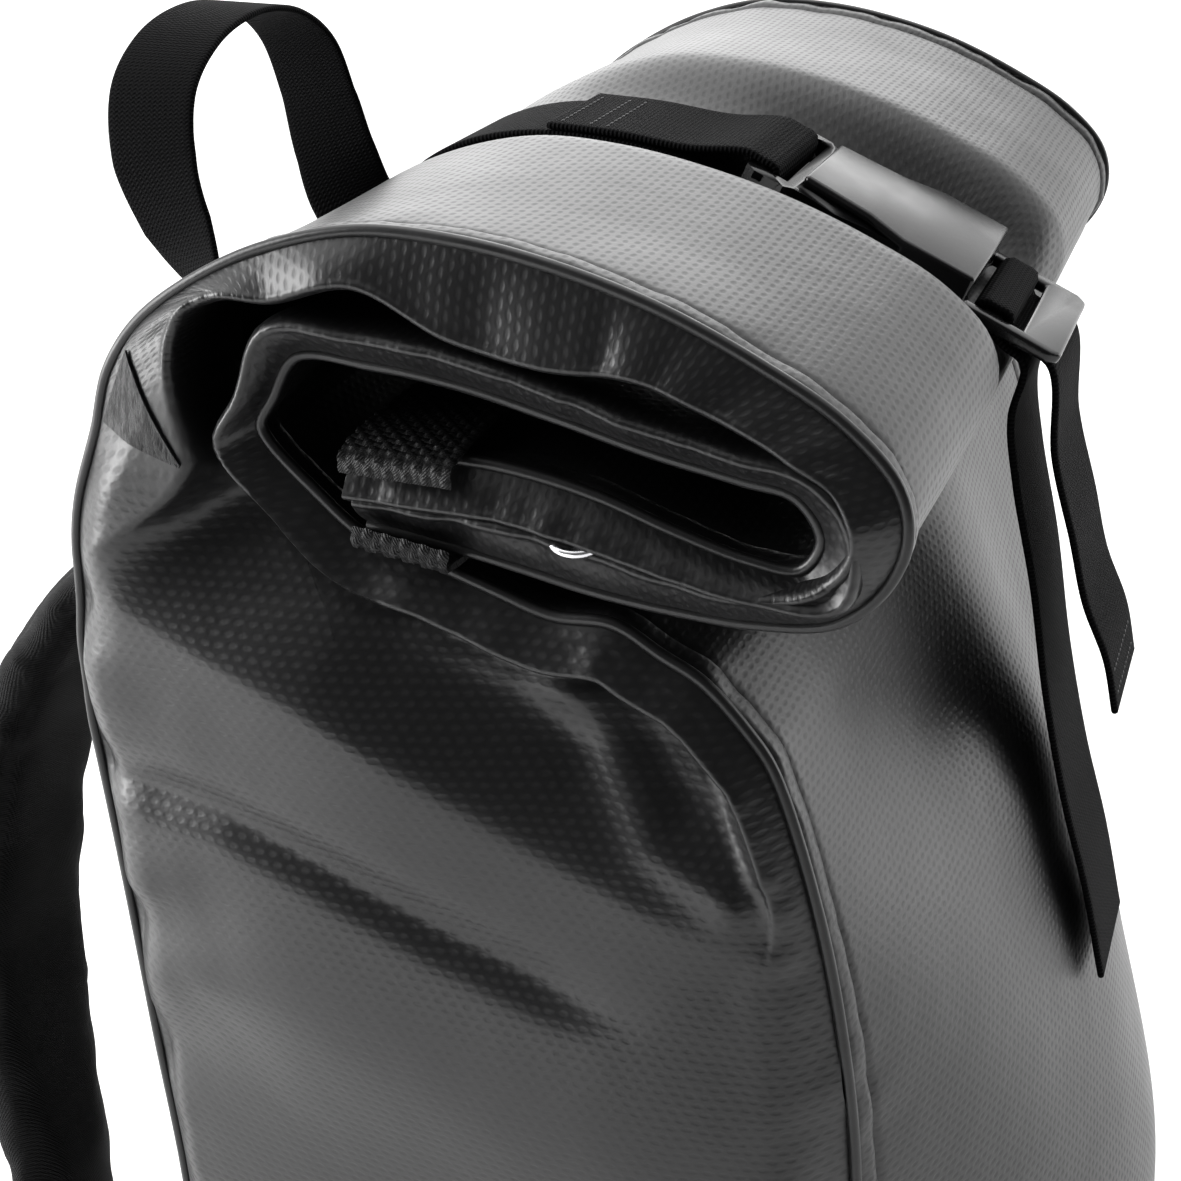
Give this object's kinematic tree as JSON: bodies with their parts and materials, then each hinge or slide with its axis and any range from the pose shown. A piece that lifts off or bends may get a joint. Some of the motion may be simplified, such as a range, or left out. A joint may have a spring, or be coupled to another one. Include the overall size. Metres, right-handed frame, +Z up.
{
  "type": "rolltop backpack",
  "caption": "Black tarpaulin rolltop backpack, its mouth rolled down over webbing and held by a strap with a side release buckle, with haul handle, back pad and shoulder straps.",
  "frame": {"origin": "on the ground under the middle of the base panel", "axes": "+Z up, +X to the wearer's right as the bag is worn seen from its front at -Y, +Y towards the wearer's back"},
  "size_m": [0.319, 0.3348, 0.5024],
  "materials": {
    "tarpaulin": "satin coated cloth with a fine honeycomb emboss",
    "piping": "smooth coated cord",
    "webbing": "matt ribbed polyester webbing",
    "pad_cloth": "matt twill over foam",
    "buckle_plastic": "satin moulded",
    "snap_metal": "polished nickel"
  },
  "bodies": {
    "root": {"front_panel": "tarpaulin", "roll_inner_layer": "tarpaulin", "back_panel": "tarpaulin", "roll_outer_layer": "tarpaulin", "side_panel_left": "tarpaulin", "side_panel_right": "tarpaulin", "gusset_fold_front_left": "tarpaulin", "gusset_fold_front_right": "tarpaulin", "gusset_fold_back_left": "tarpaulin", "gusset_fold_back_right": "tarpaulin", "base_panel": "tarpaulin", "corner_patch_left": "tarpaulin", "corner_patch_right": "tarpaulin", "piping_front_left": "piping", "piping_front_right": "piping", "piping_back_left": "piping", "piping_back_right": "piping", "mouth_webbing_front": "webbing", "mouth_webbing_back": "webbing", "closure_strap_back": "webbing", "closure_strap_front": "webbing", "haul_handle": "webbing", "lower_webbing_left": "webbing", "lower_webbing_right": "webbing", "back_pad": "pad_cloth", "shoulder_strap_left": "pad_cloth", "shoulder_strap_right": "pad_cloth", "buckle_female": "buckle_plastic", "buckle_male": "buckle_plastic", "strap_adjuster_left": "buckle_plastic", "strap_adjuster_right": "buckle_plastic", "mouth_snap_left": "snap_metal", "mouth_snap_right": "snap_metal"}
  },
  "joints": []
}
